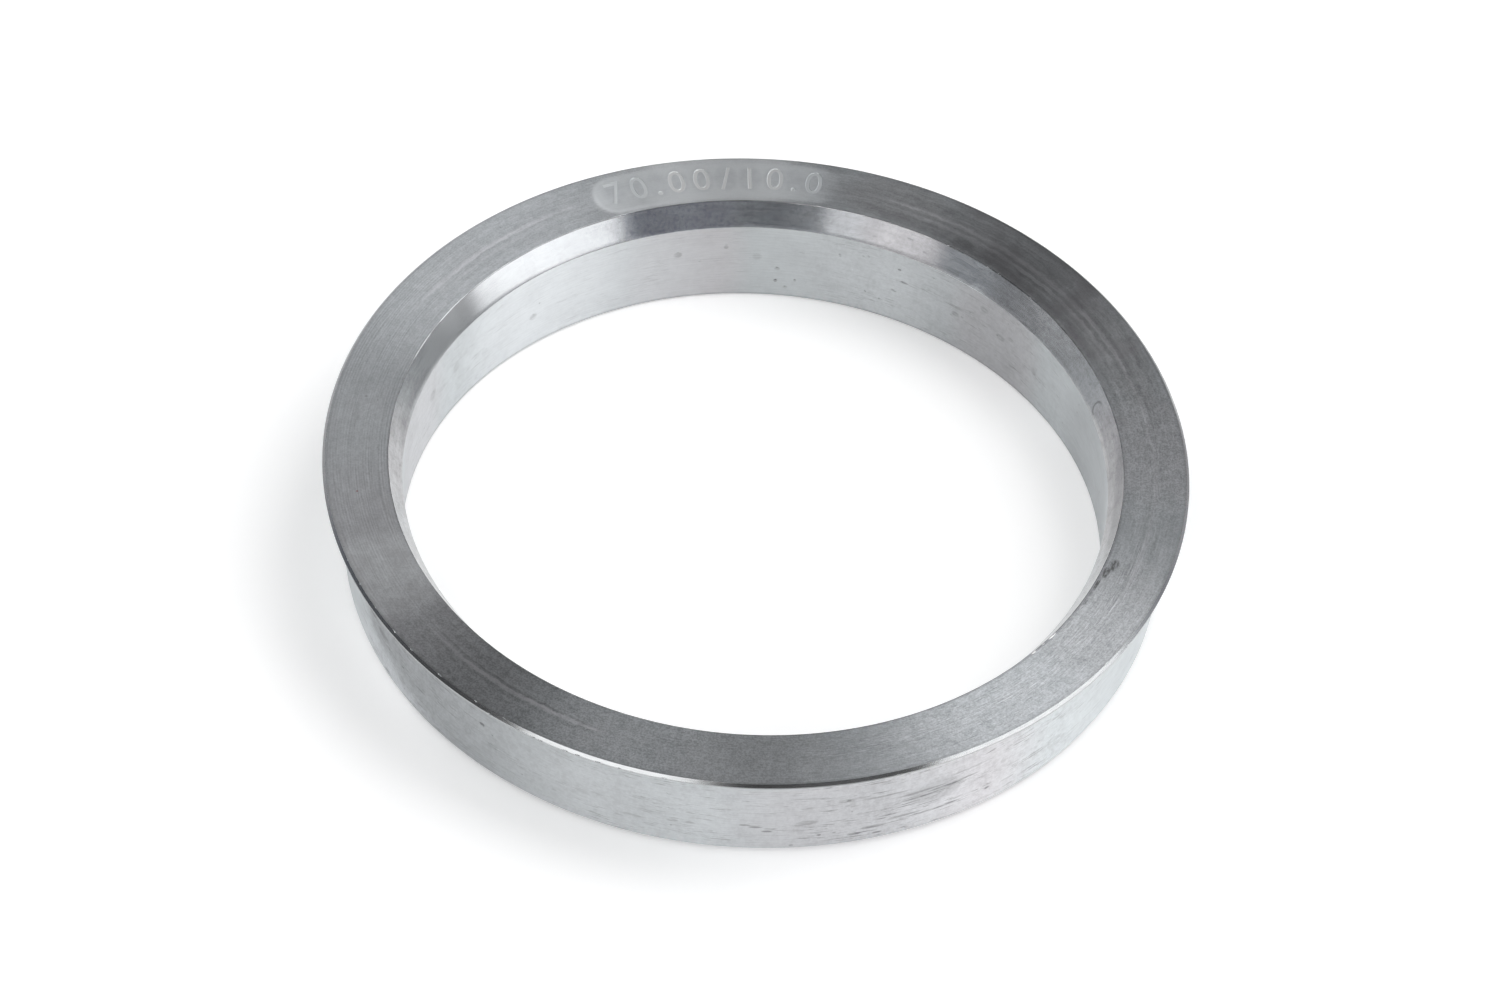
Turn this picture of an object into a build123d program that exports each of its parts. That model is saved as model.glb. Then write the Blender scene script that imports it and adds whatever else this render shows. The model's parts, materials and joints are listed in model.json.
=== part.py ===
from build123d import *
from math import radians, tan
import os

# Hub centric ring, turned from one piece of aluminium bar.
# It fills the gap between a car's hub and the larger centre bore of a wheel, so that the wheel runs true.
# Millimetres. The ring stands on its spigot end at z = 0, flange up, with its axis on Z.

# Bore: slides over the hub
bore_diameter = 57.1        # size of the hub
bore_edge_break = 0.2       # 45 degree break where the bore meets the spigot end
mouth_depth = 2.0           # how deep the wide mouth at the flange side runs, clears the radius at the hub's root
mouth_angle = 30.0          # half angle of that mouth, from the axis

# Spigot: slides into the wheel
spigot_wall = 4.69          # brings the spigot to 66.48 mm across, the wheel's centre bore
ring_height = 10.0          # spigot end to flange face
lead_in = 0.6               # 45 degree lead round the spigot end, guides it into the wheel

# Flange: stops the ring against the back of the wheel
flange_overhang = 1.76      # how far it stands out from the spigot, all round: 70 mm across
flange_edge = 0.13          # height of its plain outer edge, between the rim and the cone
rim_break = 0.22            # size of the rim, the polished 45 degree edge round the flange face
seat_angle = 45.0           # half angle of the cone under the flange, sits on the chamfer of the wheel's bore
root_radius = 0.2           # nose radius of the turning tool, left where the cone meets the spigot

# Worked out from the sizes above
bore_radius = bore_diameter / 2
spigot_radius = bore_radius + spigot_wall
flange_radius = spigot_radius + flange_overhang
mouth_radius = bore_radius + mouth_depth * tan(radians(mouth_angle))
cone_drop = flange_overhang / tan(radians(seat_angle))
cone_top = ring_height - rim_break - flange_edge
cone_bottom = cone_top - cone_drop

os.makedirs("parts", exist_ok=True)

with BuildPart() as hub_ring:
    # Half section, turned round the axis: bore on the left, flange at the top right
    with BuildSketch(Plane.XZ):
        with BuildLine():
            Polyline(
                (bore_radius, 0),
                (spigot_radius, 0),
                (spigot_radius, cone_bottom),
                (flange_radius, cone_top),
                (flange_radius, ring_height),
                (mouth_radius, ring_height),
                (bore_radius, ring_height - mouth_depth),
                close=True,
            )
        make_face()
    revolve(axis=Axis.Z)

    # Rim: the outermost edge of the flange face
    face_edges = hub_ring.edges().filter_by(GeomType.CIRCLE).group_by(Axis.Z)[-1]
    chamfer(face_edges.sort_by(SortBy.RADIUS)[-1], rim_break)

    # Spigot end: the outer edge gets the lead-in, the bore's edge a small break
    end_edges = hub_ring.edges().filter_by(GeomType.CIRCLE).group_by(Axis.Z)[0].sort_by(SortBy.RADIUS)
    chamfer(end_edges[-1], lead_in)
    end_edges = hub_ring.edges().filter_by(GeomType.CIRCLE).group_by(Axis.Z)[0].sort_by(SortBy.RADIUS)
    chamfer(end_edges[0], bore_edge_break)

    # The tool's nose leaves a small radius in the corner where the cone runs into the spigot
    corner = hub_ring.edges().filter_by(GeomType.CIRCLE).filter_by_position(
        Axis.Z, cone_bottom - root_radius / 2, cone_bottom + root_radius / 2
    )
    fillet(corner.sort_by(SortBy.RADIUS)[-1], root_radius)

hub_ring.part.label = "hub_ring"
export_step(hub_ring.part, "parts/hub_ring.step")

root_height = root_radius * tan(radians(seat_angle) / 2)
spigot_length = cone_bottom - root_height - lead_in
print(f"spigot {2 * spigot_radius:.2f} mm across over {spigot_length:.2f} mm, bore {bore_diameter:.2f} mm")
print(f"flange {2 * flange_radius:.2f} mm across, cone from z {cone_bottom:.2f} to {cone_top:.2f} mm")
print(f"volume {hub_ring.part.volume:.1f} cubic mm")
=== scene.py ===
# %% [markdown]
# A hub centric ring is a short collar that a lathe cuts from one bar of aluminium. Its bore slides over a
# car's hub and its spigot slides into the wheel, so the wheel runs true. This lesson dresses such a ring.
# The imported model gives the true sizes. The cells below build a finer skin at exactly those sizes, cut the
# small marks into it, and give every turned surface its own metal.

# %% Load the frame
import json
import random
from math import atan2, cos, degrees, hypot, pi, radians, sin, sqrt, tan

import bmesh
import bpy
from mathutils import Matrix, Vector


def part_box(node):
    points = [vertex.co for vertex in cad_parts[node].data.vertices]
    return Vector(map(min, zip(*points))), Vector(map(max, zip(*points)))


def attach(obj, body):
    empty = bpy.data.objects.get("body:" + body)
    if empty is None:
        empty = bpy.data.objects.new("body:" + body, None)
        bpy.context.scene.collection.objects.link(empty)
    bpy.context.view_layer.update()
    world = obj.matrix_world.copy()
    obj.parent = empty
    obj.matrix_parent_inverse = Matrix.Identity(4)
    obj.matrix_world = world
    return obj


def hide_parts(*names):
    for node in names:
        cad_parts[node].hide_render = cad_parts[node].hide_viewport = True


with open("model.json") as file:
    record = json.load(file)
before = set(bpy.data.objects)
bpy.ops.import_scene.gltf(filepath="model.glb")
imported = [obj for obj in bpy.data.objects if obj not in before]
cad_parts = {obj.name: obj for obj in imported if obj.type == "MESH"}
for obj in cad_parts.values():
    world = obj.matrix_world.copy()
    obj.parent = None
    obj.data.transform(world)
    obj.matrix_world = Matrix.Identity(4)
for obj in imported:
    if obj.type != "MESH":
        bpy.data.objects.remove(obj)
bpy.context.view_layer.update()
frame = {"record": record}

# %% [markdown]
# Blender works in metres and a ring is measured in millimetres, so one named factor joins the two. The
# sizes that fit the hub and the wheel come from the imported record, and the overall ones from the node's
# box. The rest are the small features of the turned section, each written once as a real size.

# %% Sizes
MM = 0.001
mounts = {mount["name"]: mount for mount in frame["record"]["mounts"]}
node_low, node_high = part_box("hub_ring")

bore_r = mounts["hub_bore"]["dims"]["r_mm"] * MM
spigot_r = mounts["wheel_spigot"]["dims"]["r_mm"] * MM
flange_r = min(node_high.x, node_high.y)
ring_height = node_high.z - node_low.z

mouth_depth = 2.0 * MM
mouth_r = bore_r + mouth_depth * tan(radians(30))
rim_break = 0.22 * MM
flange_edge = 0.13 * MM
cone_top = ring_height - rim_break - flange_edge
cone_bottom = cone_top - (flange_r - spigot_r)
mouth_floor = ring_height - mouth_depth
print(f"bore {2 * bore_r / MM:.2f}, spigot {2 * spigot_r / MM:.2f}, flange {2 * flange_r / MM:.2f} mm across")

# %% [markdown]
# The camera comes first, because everything that follows is judged through it. The ring's circles show up
# as ellipses in the picture, and their shape tells where a camera has to stand: about 0.57 m away, looking
# down at 47 degrees through a long lens, and leaning a little to one side. A long lens keeps the far side
# of the ring almost as large as the near one.

# %% Camera
camera_place = Vector((0, -391.358, 420.580)) * MM
looks_down = 46.720
leans = 3.43
heading = 0.049

photo_lens = bpy.data.cameras.new("photo_camera")
photo_lens.sensor_width = 36
photo_lens.lens = 168.7
camera = bpy.data.objects.new("photo_camera", photo_lens)
turn = Matrix.Rotation(radians(heading), 4, "Z")
tilt = Matrix.Rotation(radians(90 - looks_down), 4, "X")
lean = Matrix.Rotation(radians(leans), 4, "Z")
camera.matrix_world = Matrix.Translation(camera_place) @ turn @ tilt @ lean
bpy.context.scene.collection.objects.link(camera)
bpy.context.scene.camera = camera
bpy.context.scene.view_settings.view_transform = "Standard"
print(f"camera {camera_place.length:.3f} m away, {photo_lens.lens:.1f} mm lens")

# %% [markdown]
# A lathe makes a shape that is the same all the way round, so the modeller needs only half of its section.
# It is drawn once, as a flat outline standing in the XZ plane, and later spun round the Z axis. Sharp
# corners don't exist on real metal and would catch no light, so each corner of the outline is bevelled: by
# a straight 45 degree cut at the rim and at both edges of the spigot's end, by a small round in the corner
# under the cone, and elsewhere by the few hundredths of a millimetre that a file or a worn tool leaves. The
# straight cuts get a second, finer bevel on their own corners. It is finest at the rim, which a sharp tool
# cut last, so that the rim shows as one crisp line. Bevelling a corner point before the spin rounds the
# whole edge at once.

# %% Half section
edge_break = 0.04 * MM
crisp_break = 0.008 * MM
bore_edge = 0.2 * MM
lead_in = 0.6 * MM
root_reach = 0.083 * MM

# Radius, height, size of the bevel, its segments, size of the second bevel
corners = [
    (bore_r, 0, bore_edge, 1, edge_break),
    (spigot_r, 0, lead_in, 1, edge_break),
    (spigot_r, cone_bottom, root_reach, 4, None),
    (flange_r, cone_top, edge_break, 2, None),
    (flange_r, ring_height, rim_break, 1, crisp_break),
    (mouth_r, ring_height, edge_break, 2, None),
    (bore_r, mouth_floor, edge_break, 2, None),
]


def bevel_corner(mesh, corner, size, segments):
    """Rounds one corner point of a flat outline and returns the points that replace it."""
    made = bmesh.ops.bevel(
        mesh, geom=[corner], offset=size, offset_type="OFFSET", segments=segments,
        profile=0.5, affect="VERTICES", clamp_overlap=False, material=-1,
    )
    return [v for v in made["verts"] if v.is_valid]


section = bmesh.new()
points = [section.verts.new((radius, 0, height)) for radius, height, *_ in corners]
section.faces.new(points)
for point, (*_, size, segments, second_break) in zip(points, corners):
    replaced = bevel_corner(section, point, size, segments)
    if second_break:
        for corner in replaced:
            bevel_corner(section, corner, second_break, 2)
print(f"half section: {len(section.verts)} points")

# %% [markdown]
# Later cells cut small dents into the edges. Smooth shading spreads a dent's slope over every face that
# touches it, as far as that face goes, so a broad face gets a support cut close to each of its edges. What
# happens at the edge then stays in the narrow strip beside it.

# %% Support cuts
support = 0.3 * MM


def cut_section(place, direction):
    """Adds points where a line across the section crosses its outline."""
    bmesh.ops.bisect_plane(
        section, geom=section.verts[:] + section.edges[:] + section.faces[:], dist=1e-9,
        plane_co=place, plane_no=direction,
    )


for radius in (mouth_r + support, flange_r - rim_break - support):
    cut_section((radius, 0, 0), (1, 0, 0))
for height in (ring_height - support, mouth_floor + support, mouth_floor - support):
    cut_section((0, 0, height), (0, 0, 1))
print(f"with support cuts: {len(section.verts)} points")

# %% [markdown]
# Now the outline is spun. Only its outer edges take part: inner ones would leave walls inside the metal. A
# step every third of a degree makes facets a fifth of a millimetre long, too small to see even in a close
# view. The spin operator slows down with the square of its steps, so it turns a twelfth of the ring, and
# that sector is copied round. Merging the doubled points closes the seams between the sectors.

# %% Spin
sectors = 12
steps_per_sector = 90

inner_edges = [edge for edge in section.edges if len(edge.link_faces) == 2]
for face in section.faces[:]:
    section.faces.remove(face)
for edge in inner_edges:
    section.edges.remove(edge)
for point in section.verts[:]:
    if not point.link_edges:
        section.verts.remove(point)
bmesh.ops.spin(
    section, geom=section.verts[:] + section.edges[:], cent=(0, 0, 0), axis=(0, 0, 1),
    dvec=(0, 0, 0), angle=2 * pi / sectors, steps=steps_per_sector, use_duplicate=False,
)
first_sector = section.verts[:] + section.edges[:] + section.faces[:]
for sector in range(1, sectors):
    copied = bmesh.ops.duplicate(section, geom=first_sector)["geom"]
    corners_of_copy = [part for part in copied if isinstance(part, bmesh.types.BMVert)]
    turned = Matrix.Rotation(2 * pi * sector / sectors, 3, "Z")
    bmesh.ops.rotate(section, verts=corners_of_copy, cent=(0, 0, 0), matrix=turned)
bmesh.ops.remove_doubles(section, verts=section.verts[:], dist=1e-7)
bmesh.ops.recalc_face_normals(section, faces=section.faces[:])
open_edges = sum(1 for edge in section.edges if len(edge.link_faces) != 2)
print(f"spun: {len(section.faces)} faces, {open_edges} open edges")

ring_mesh = bpy.data.meshes.new("turned_ring")
section.to_mesh(ring_mesh)
section.free()
ring = bpy.data.objects.new("turned_ring", ring_mesh)
bpy.context.scene.collection.objects.link(ring)

# %% [markdown]
# Handling leaves dents: a nick where the rim met another part, bright dots along the mouth's edge, and
# small pits in the walls. Each is a shallow hollow, so each cutter is a flattened ball, half sunk in the
# metal. Its three sizes run along the turning, across it and into the metal. The marks stand where the real
# ring has them, and a seeded random number gives each its size, so that the ring is the same in every run.

# %% Dents, nicks and pits
scatter = random.Random(7)
cutters = bmesh.new()


def add_dent(angle, radius, height, outward, along, across, depth):
    """A flattened ball at an angle on the ring. outward is the slope of the normal, 0 level and 90 up."""
    around = Matrix.Rotation(radians(angle), 4, "Z")
    lift = Matrix.Rotation(radians(-outward), 4, "Y")
    place = around @ Matrix.Translation((radius, 0, height)) @ lift
    shape = Matrix.Diagonal((depth, along / 2, across / 2, 1))
    bmesh.ops.create_icosphere(cutters, subdivisions=2, radius=1, matrix=place @ shape)


def pick(smallest, largest):
    """A random size in millimetres."""
    return scatter.uniform(smallest, largest) * MM


upper_nicks = [-178.6, -156.6, -152.1, -147.5, -142.6, -138.7, -133.0, -126.6, -121.9, -35.0]
for angle in upper_nicks:
    sizes = pick(0.25, 0.6), pick(0.1, 0.2), pick(0.03, 0.06)
    add_dent(angle, flange_r - rim_break, ring_height, 67, *sizes)
lower_nicks = [-124.0, -119.6, -117.3, -116.2, -112.6, -110.9, -108.1, -105.2, -103.6, -99.3, -69.0, -30.5]
for angle in lower_nicks:
    sizes = pick(0.2, 0.6), pick(0.08, 0.16), pick(0.04, 0.07)
    add_dent(angle, flange_r, ring_height - rim_break, 22, *sizes)
mouth_nicks = [82.6, 75.0, 70.4, 59.8, 51.9, 49.8, 42.8, 160.2, 166.0, 171.2, -158.6, -152.1, -35.3, -40.5]
for angle in mouth_nicks:
    sizes = pick(0.2, 0.6), 0.16 * MM, pick(0.02, 0.04)
    add_dent(angle, mouth_r, ring_height, 120, *sizes)

bore_pits = [
    (88.6, 2.0), (85.4, 2.2), (88.5, 3.5), (87.0, 1.3), (77.9, 5.8), (73.9, 6.5), (67.2, 6.2), (66.7, 4.9),
    (67.9, 3.6), (70.6, 2.1), (73.2, 2.5), (61.0, 6.9), (54.8, 4.1), (57.1, 3.7), (47.3, 4.6), (37.8, 4.4),
    (97.3, 6.0), (101.7, 4.2), (105.5, 5.5), (132.5, 3.6), (160.1, 5.4),
]
for angle, height in bore_pits:
    size = pick(0.14, 0.3)
    add_dent(angle, bore_r, height * MM, 180, size, size * scatter.uniform(0.6, 1), 0.06 * MM)

wall_pits = [
    (-127.5, 5.4), (-125.8, 5.0), (-144.4, 3.8), (-74.6, 5.6), (-53.7, 2.5), (-44.8, 4.2), (-99.1, 6.1),
]
for angle, height in wall_pits:
    size = pick(0.2, 0.5)
    add_dent(angle, spigot_r, height * MM, 0, size, size * 0.6, 0.05 * MM)
dents = upper_nicks + lower_nicks + mouth_nicks + bore_pits + wall_pits
print(f"{len(dents)} dents")

# %% [markdown]
# The face carries one engraved size mark, in plain numbers: the ring's own width and height in millimetres.
# Text could be painted on, but an engraving is a groove, and a groove catches light along its walls. Each
# character becomes a small solid with a sloped lower edge, stands on its own place on the arc, and is cut
# out of the face. The text object is made a mesh before it is placed, so that its place ends up in the
# mesh. A capital of Blender's own font is 0.69 of the font's size, and a digit's width is compared with
# 0.68 of its height. A small negative offset makes the strokes thinner.

# %% Engraved numbers
size_mark = f"{2 * flange_r / MM:.2f}/{ring_height / MM:.1f}"
mark_middle = 99.0
capital_share = 0.69
digit_width = 0.68
mark_baseline_r = 31.15 * MM
mark_tall = 2.5 * MM
mark_wide = 1.45 * MM
mark_depth = 0.04 * MM
mark_lift = 1.5 * mark_depth
stroke_thinning = -0.015 * MM
advance = {"digit": 2.05 * MM, ".": 1.1 * MM, "/": 1.85 * MM}


def step_of(character):
    return advance["digit"] if character.isdigit() else advance[character]


def character_mesh(character):
    """One character as a closed solid at its full size, its lower edge sloped by the mark's depth."""
    text = bpy.data.curves.new("character", "FONT")
    text.body = character
    text.align_x = "CENTER"
    text.size = mark_tall / capital_share
    text.offset = stroke_thinning
    text.extrude = mark_lift
    text.bevel_depth = mark_depth
    text.bevel_resolution = 0
    text.resolution_u = 6
    text_object = bpy.data.objects.new("character", text)
    mesh = bpy.data.meshes.new_from_object(text_object)
    bpy.data.objects.remove(text_object)
    return mesh


mark_length = sum(step_of(character) for character in size_mark)
travelled = 0
mark_angles = []
for character in size_mark:
    travelled += step_of(character) / 2
    angle = mark_middle + degrees((mark_length / 2 - travelled) / mark_baseline_r)
    travelled += step_of(character) / 2
    mark_angles.append(angle)
    mesh = character_mesh(character)
    widen = Matrix.Scale(mark_wide / (mark_tall * digit_width), 4, (1, 0, 0))
    place = (
        Matrix.Rotation(radians(angle), 4, "Z")
        @ Matrix.Translation((mark_baseline_r, 0, ring_height + mark_lift))
        @ Matrix.Rotation(radians(-90), 4, "Z")
    )
    mesh.transform(place @ widen)
    cutters.from_mesh(mesh)
    bpy.data.meshes.remove(mesh)
bmesh.ops.remove_doubles(cutters, verts=cutters.verts[:], dist=1e-8)
bmesh.ops.recalc_face_normals(cutters, faces=cutters.faces[:])
cutter_open = sum(1 for edge in cutters.edges if len(edge.link_faces) != 2)
print(f"size mark {size_mark}: {len(cutters.faces)} cutter faces, {cutter_open} open edges")

# %% [markdown]
# One Boolean takes all the cutters out of the ring at once. The modifier is applied straight away, because
# the steps after it need the real faces. Where a cutter only just misses an edge of the ring, a Boolean
# leaves slivers far thinner than a hair, and Dissolve Degenerate takes them out, so that the mesh stays
# closed.

# %% Cut the marks out
cutter_mesh = bpy.data.meshes.new("cutters")
cutters.to_mesh(cutter_mesh)
cutters.free()
cutter_object = bpy.data.objects.new("cutters", cutter_mesh)
bpy.context.scene.collection.objects.link(cutter_object)

cut_marks = ring.modifiers.new("cut_marks", "BOOLEAN")
cut_marks.operation = "DIFFERENCE"
cut_marks.solver = "MANIFOLD"
cut_marks.object = cutter_object
with bpy.context.temp_override(object=ring, active_object=ring):
    bpy.ops.object.modifier_apply(modifier=cut_marks.name)
bpy.data.objects.remove(cutter_object)

cut_ring = bmesh.new()
cut_ring.from_mesh(ring.data)
bmesh.ops.dissolve_degenerate(cut_ring, dist=1e-7, edges=cut_ring.edges[:])
open_edges = sum(1 for edge in cut_ring.edges if len(edge.link_faces) != 2)
cut_ring.to_mesh(ring.data)
cut_ring.free()
print(f"cut: {len(ring.data.polygons)} faces, {open_edges} open edges")

# %% [markdown]
# Each turned surface was cut by its own pass of the tool, so each gets its own material. A face's place and
# the way it points are enough to tell which surface it belongs to. The rim's finish also covers the plain
# edge below it. All faces are shaded smooth, and edges that turn by more than 12 degrees are marked sharp,
# so the small rounds look round while the rim stays flat.

# %% Sort the faces by surface
finishes = ["faced_metal", "polished_rim", "mouth_metal", "turned_wall", "bore_wall", "engraved_metal"]
mark_low_r = mark_baseline_r - 0.3 * MM
mark_high_r = mark_baseline_r + mark_tall + 0.5 * MM
hair = 0.001 * MM


def finish_of(centre, normal):
    """The name of the finish of a face, from its middle and its normal."""
    radius = hypot(centre.x, centre.y)
    outward = (normal.x * centre.x + normal.y * centre.y) / radius
    below_face = ring_height - centre.z
    off_mark = abs(degrees(atan2(centre.y, centre.x)) - mark_middle)
    near_mark = mark_low_r < radius < mark_high_r and off_mark < degrees(mark_length / 2 / mark_low_r)
    if near_mark and 2 * hair < below_face < 2 * mark_depth:
        return "engraved_metal"
    at_edge = radius > flange_r - rim_break - hair and below_face < rim_break + flange_edge
    if at_edge and normal.z < 0.9999:
        return "polished_rim"
    if below_face < hair and normal.z > 0.9:
        return "faced_metal"
    if outward < 0 and below_face < mouth_depth + edge_break:
        return "mouth_metal"
    return "bore_wall" if outward < -0.2 else "turned_wall"


ring.data.materials.clear()
for finish in finishes:
    ring.data.materials.append(bpy.data.materials.new(finish))
tally = dict.fromkeys(finishes, 0)
for polygon in ring.data.polygons:
    finish = finish_of(polygon.center, polygon.normal)
    polygon.material_index = finishes.index(finish)
    polygon.use_smooth = True
    tally[finish] += 1
print("faces of each finish:", tally)

ring.data.set_sharp_from_angle(angle=radians(12))

# %% [markdown]
# Node materials are long chains of small sums, and a few helpers keep them readable: one adds a node and
# fills its inputs, one does arithmetic, one maps a value smoothly from 0 to 1 between two limits, and one
# lays a tone over a colour where a mask says so. They take plain numbers or the outputs of other nodes. An
# output knows the node tree that it belongs to, so most helpers need not be told where to put their node.

# %% Node helpers
def feed(socket, value):
    """Gives an input another node's output, or a plain value."""
    if isinstance(value, bpy.types.NodeSocket):
        socket.id_data.links.new(value, socket)
    else:
        socket.default_value = value


def add_node(tree, kind, inputs=None, **settings):
    node = tree.nodes.new("ShaderNode" + kind)
    for name, value in settings.items():
        setattr(node, name, value)
    for name, value in (inputs or {}).items():
        feed(node.inputs[name], value)
    return node


def calc(operation, *values):
    """Arithmetic on numbers and at least one output, such as calc("ADD", a, 2)."""
    tree = next(value.id_data for value in values if isinstance(value, bpy.types.NodeSocket))
    return add_node(tree, "Math", dict(enumerate(values)), operation=operation).outputs[0]


def times(*masks):
    """The product of masks."""
    product = masks[0]
    for mask in masks[1:]:
        product = calc("MULTIPLY", product, mask)
    return product


def at_least(mask, floor_value):
    """The mask lifted, so that where it was 0 it is this value."""
    return calc("MULTIPLY_ADD", mask, 1 - floor_value, floor_value)


def ramp(value, start, end):
    """0 at start, 1 at end, and a smooth rise between them. start may be the larger one."""
    inputs = {"Value": value, "From Min": start, "From Max": end}
    return add_node(value.id_data, "MapRange", inputs, interpolation_type="SMOOTHSTEP").outputs[0]


def lay_over(colour, mask, share, tone):
    """The colour with a tone laid over it, at most this share of it, where the mask is 1."""
    node = add_node(mask.id_data, "Mix", data_type="RGBA")
    feed(node.inputs[0], calc("MULTIPLY", mask, share))
    feed(node.inputs[6], colour)
    feed(node.inputs[7], tone)
    return node.outputs[2]


def new_group(name, inputs, outputs):
    """An empty node group, the outputs of its input node and the inputs of its output node."""
    tree = bpy.data.node_groups.new(name, "ShaderNodeTree")
    for label, default in inputs.items():
        kind = "NodeSocketVector" if isinstance(default, tuple) else "NodeSocketFloat"
        tree.interface.new_socket(name=label, in_out="INPUT", socket_type=kind).default_value = default
    for label, kind in outputs.items():
        tree.interface.new_socket(name=label, in_out="OUTPUT", socket_type="NodeSocket" + kind)
    return tree, tree.nodes.new("NodeGroupInput").outputs, tree.nodes.new("NodeGroupOutput").inputs


def place_group(tree, group, inputs):
    node = tree.nodes.new("ShaderNodeGroup")
    node.node_tree = group
    for name, value in inputs.items():
        feed(node.inputs[name], value)
    return node.outputs


def vector_node(operation, inputs):
    """A Vector Math node beside the output that its first input takes."""
    return add_node(inputs[0].id_data, "VectorMath", inputs, operation=operation).outputs


print("node helpers ready")

# %% [markdown]
# Everything that a lathe leaves follows the turning, so the patterns need turned coordinates: how far a
# point is from the axis, how high it is, and at which angle. The group below works them out from Object
# coordinates. For noise it also gives the direction from the axis as a vector one unit long. It comes back
# to itself after a full turn, so a pattern made from it has no seam.

# %% Group: turned coordinates
no_place = (0.0, 0.0, 0.0)
turned_place, group_in, group_out = new_group(
    "turned_place", {"Position": no_place},
    {"Radius": "Float", "Height": "Float", "Angle": "Float", "Around": "Vector"},
)
in_mm = vector_node("SCALE", {0: group_in["Position"], "Scale": 1 / MM})[0]
axes = add_node(turned_place, "SeparateXYZ", {0: in_mm}).outputs
flat = add_node(turned_place, "CombineXYZ", {0: axes[0], 1: axes[1]}).outputs[0]
feed(group_out["Radius"], vector_node("LENGTH", {0: flat})[1])
feed(group_out["Around"], vector_node("NORMALIZE", {0: flat})[0])
feed(group_out["Height"], axes[2])
feed(group_out["Angle"], calc("MULTIPLY", calc("ARCTAN2", axes[1], axes[0]), degrees(1)))
print("group turned_place made")

# %% [markdown]
# Scratches and tool marks are long round the axis and thin across it, so the noise behind them is
# stretched. Turns sets how often it changes in one turn, and Per mm how often across. Everything over a
# threshold becomes a streak: a high and narrow one gives a few crisp scratches, and a wide one a soft
# grain.

# %% Group: streaks
streaks, group_in, group_out = new_group(
    "streaks",
    {"Around": no_place, "Across": 0.0, "Turns": 8.0, "Per mm": 4.0, "Seed": 0.0, "Start": 0.35, "End": 0.65},
    {"Mask": "Float"},
)
long_way = vector_node("SCALE", {0: group_in["Around"], "Scale": group_in["Turns"]})[0]
short_way = calc("MULTIPLY_ADD", group_in["Across"], group_in["Per mm"], group_in["Seed"])
lifted = add_node(streaks, "CombineXYZ", {2: short_way}).outputs[0]
stretched = vector_node("ADD", {0: long_way, 1: lifted})[0]
inputs = {"Vector": stretched, "Scale": 1.0, "Detail": 2.0, "Roughness": 0.6}
streak_noise = add_node(streaks, "TexNoise", inputs).outputs[0]
feed(group_out["Mask"], ramp(streak_noise, group_in["Start"], group_in["End"]))
print("group streaks made")

# %% [markdown]
# The tool's own lines are regular: one for each turn of the work, a fifth of a millimetre apart. A sine
# wave across the surface draws them. A little stretched noise bends them, and more of it lets them fade in
# and out, because a worn tool cuts them unevenly.

# %% Group: tool lines
tool_lines, group_in, group_out = new_group(
    "tool_lines", {"Around": no_place, "Across": 0.0, "Pitch": 0.22}, {"Lines": "Float"},
)
turning = {"Around": group_in["Around"], "Across": group_in["Across"]}
wander = place_group(tool_lines, streaks, {**turning, "Turns": 1.5, "Per mm": 0.8})["Mask"]
uneven = place_group(tool_lines, streaks, {**turning, "Turns": 2.5, "Per mm": 2.2, "Seed": 40.0})["Mask"]
phase = calc("MULTIPLY_ADD", wander, 0.8, calc("DIVIDE", group_in["Across"], group_in["Pitch"]))
wave = calc("SINE", calc("MULTIPLY", phase, 2 * pi))
feed(group_out["Lines"], calc("MULTIPLY_ADD", calc("MULTIPLY", wave, uneven), 0.5, 0.5))
print("group tool_lines made")

# %% [markdown]
# Stains and blotches don't follow the turning. They are plain three dimensional noise on Object
# coordinates, so they run over edges without a break. Noise adds detail in steps, each half as large as the
# one before, and larger blotches get more steps, down to a tenth of a millimetre. Specks come from a
# Voronoi pattern: each cell gets one dot, and a random value per cell leaves most of them out.

# %% Groups: blotches and specks
finest_detail = 0.1


def scale_for(size_in_mm):
    """The Scale of a texture in metres whose features are this many millimetres apart."""
    return calc("DIVIDE", 1 / MM, size_in_mm)


blotches, group_in, group_out = new_group(
    "blotches", {"Position": no_place, "Size in mm": 5.0, "Start": 0.45, "End": 0.65}, {"Mask": "Float"},
)
size = group_in["Size in mm"]
steps = calc("MAXIMUM", calc("LOGARITHM", calc("DIVIDE", size, finest_detail), 2.0), 1.0)
inputs = {"Vector": group_in["Position"], "Scale": scale_for(size), "Detail": steps, "Roughness": 0.6}
cloud = add_node(blotches, "TexNoise", inputs).outputs[0]
feed(group_out["Mask"], ramp(cloud, group_in["Start"], group_in["End"]))

specks, group_in, group_out = new_group(
    "specks", {"Position": no_place, "Spacing in mm": 1.0, "Size": 0.15, "Share": 0.2}, {"Mask": "Float"},
)
inputs = {"Vector": group_in["Position"], "Scale": scale_for(group_in["Spacing in mm"])}
cells = add_node(specks, "TexVoronoi", inputs).outputs
dot = ramp(cells["Distance"], group_in["Size"], calc("MULTIPLY", group_in["Size"], 0.4))
luck = add_node(specks, "SeparateColor", {0: cells["Color"]}).outputs[0]
feed(group_out["Mask"], calc("MULTIPLY", dot, calc("LESS_THAN", luck, group_in["Share"])))
print("groups blotches and specks made")

# %% [markdown]
# Some marks have one place. Two groups draw them in turned coordinates. The spot is a soft ellipse, for a
# smudge, a scratch or a whole region. The patch is a rounded bar whose distance is measured as for a
# rounded rectangle, so it gives both a filled patch and its outline.

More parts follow.
